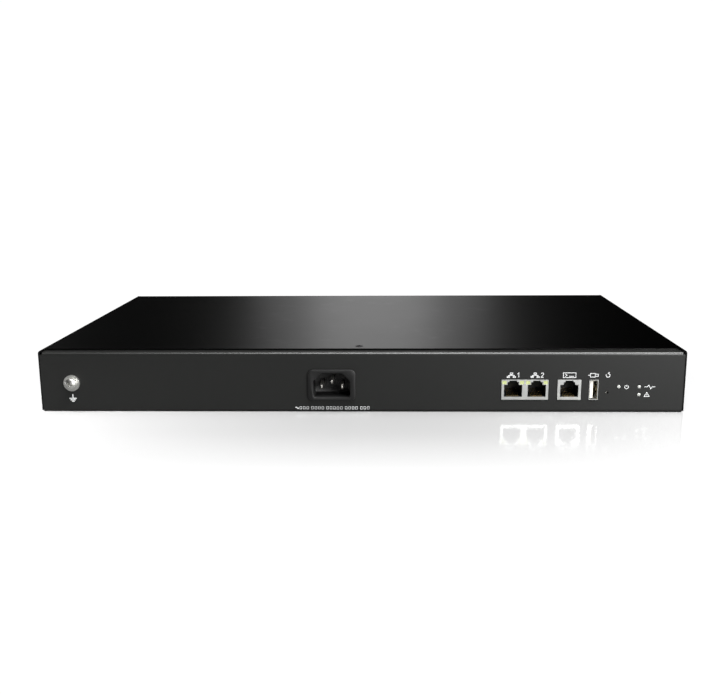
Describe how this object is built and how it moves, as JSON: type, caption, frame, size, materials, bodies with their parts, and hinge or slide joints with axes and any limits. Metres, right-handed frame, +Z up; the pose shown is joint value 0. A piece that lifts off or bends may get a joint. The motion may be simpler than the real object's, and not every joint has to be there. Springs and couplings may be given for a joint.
{
  "type": "firewall appliance",
  "caption": "One-rack-unit black steel network security appliance with mains inlet, network, console and USB ports on one long panel.",
  "frame": {"origin": "centre of the bounding box's bottom face, on the surface the case stands on", "axes": "+Z up; the port panel faces -Y; +X is to the right for a person facing the port panel"},
  "size_m": [0.44, 0.2569, 0.0436],
  "materials": {
    "pan_powder": "fine-textured black powder coat, satin",
    "cover_powder": "fine-textured black powder coat, satin",
    "zinc_plate": "bright zinc-plated steel",
    "black_oxide": "black zinc-plated steel",
    "tin_plate": "tin-plated formed sheet",
    "gold_contact": "gold-flashed spring wire",
    "brass_nickel": "self-clinching steel, zinc and yellow passivated",
    "black_nylon": "moulded black nylon",
    "white_nylon": "moulded natural nylon",
    "light_pipe": "clear moulded acrylic",
    "jack_lens": "tinted epoxy",
    "board_green": "green solder mask over fibreglass",
    "board_tan": "single-sided phenolic board",
    "package_black": "moulded epoxy package",
    "processor_die": "bare flip-chip package with a lid",
    "fin_aluminium": "extruded aluminium, clear anodised",
    "can_sleeve": "printed film sleeve over an aluminium can",
    "ferrite": "sintered ferrite",
    "transformer_tape": "yellow polyester tape over copper windings",
    "copper_wire": "enamelled copper wire",
    "cell_steel": "nickel-plated steel",
    "fuse_glass": "clear glass tube with plated end caps",
    "insulator_film": "fish-paper insulating sheet",
    "boot_red": "soft vinyl",
    "wire_brown": "PVC insulation",
    "wire_green": "PVC insulation, green with a yellow stripe",
    "wire_red": "PVC insulation",
    "fan_plastic": "glass-filled black plastic"
  },
  "bodies": {
    "chassis": {"base_pan": "pan_powder", "cover_rear_screws": "black_oxide", "press_nuts": "zinc_plate", "standoffs": "brass_nickel", "board_screws": "zinc_plate", "ground_screw": "zinc_plate", "ground_spring_washer": "zinc_plate", "ground_flat_washer": "zinc_plate", "earth_stud": "zinc_plate", "earth_nut": "zinc_plate", "inlet_body": "black_nylon", "inlet_pins": "tin_plate", "inlet_boots": "boot_red", "mains_wires": "wire_brown", "earth_wire": "wire_green", "ethernet_shield": "tin_plate", "ethernet_housing": "black_nylon", "ethernet_contacts": "gold_contact", "ethernet_leds": "jack_lens", "console_shield": "tin_plate", "console_housing": "black_nylon", "console_contacts": "gold_contact", "usb_shell": "tin_plate", "usb_tongue": "white_nylon", "usb_contacts": "gold_contact", "reset_switch": "black_nylon", "indicator_pipes": "light_pipe", "indicator_holders": "black_nylon", "main_board": "board_green", "processor": "processor_die", "processor_heatsink": "fin_aluminium", "heatsink_pins": "white_nylon", "memory_socket": "black_nylon", "memory_module": "board_green", "board_chips": "package_black", "magnetics": "package_black", "board_capacitors": "can_sleeve", "board_inductors": "ferrite", "coin_cell_holder": "black_nylon", "coin_cell": "cell_steel", "board_headers": "white_nylon", "board_plugs": "white_nylon", "psu_board": "board_tan", "psu_insulator": "insulator_film", "psu_transformer": "transformer_tape", "psu_capacitors": "can_sleeve", "psu_heatsinks": "fin_aluminium", "psu_chokes": "copper_wire", "psu_fuse": "fuse_glass", "psu_terminals": "white_nylon", "fan_front_frame": "fan_plastic", "fan_rear_frame": "fan_plastic", "fan_screws": "zinc_plate", "fan_leads": "wire_red", "dc_wires": "wire_red"},
    "top_cover": {"top_cover": "cover_powder", "cover_front_screw": "black_oxide"},
    "reset_button": {"reset_button": "white_nylon"},
    "fan_front_rotor": {"fan_front_rotor": "fan_plastic"},
    "fan_rear_rotor": {"fan_rear_rotor": "fan_plastic"}
  },
  "joints": [
    {"name": "cover_lift", "type": "slide", "parent": "chassis", "child": "top_cover", "axis": [0, 0, 1], "range_m": [0, 0.12]},
    {"name": "reset_press", "type": "slide", "parent": "chassis", "child": "reset_button", "axis": [0, 1, 0], "range_m": [0, 0.00035], "stiffness_N_per_m": 4500},
    {"name": "front_fan_spin", "type": "hinge", "parent": "chassis", "child": "fan_front_rotor", "pos_m": [-0.2071, -0.021, 0.0213], "axis": [1, 0, 0], "continuous": true},
    {"name": "rear_fan_spin", "type": "hinge", "parent": "chassis", "child": "fan_rear_rotor", "pos_m": [-0.2071, 0.045, 0.0213], "axis": [1, 0, 0], "continuous": true}
  ]
}
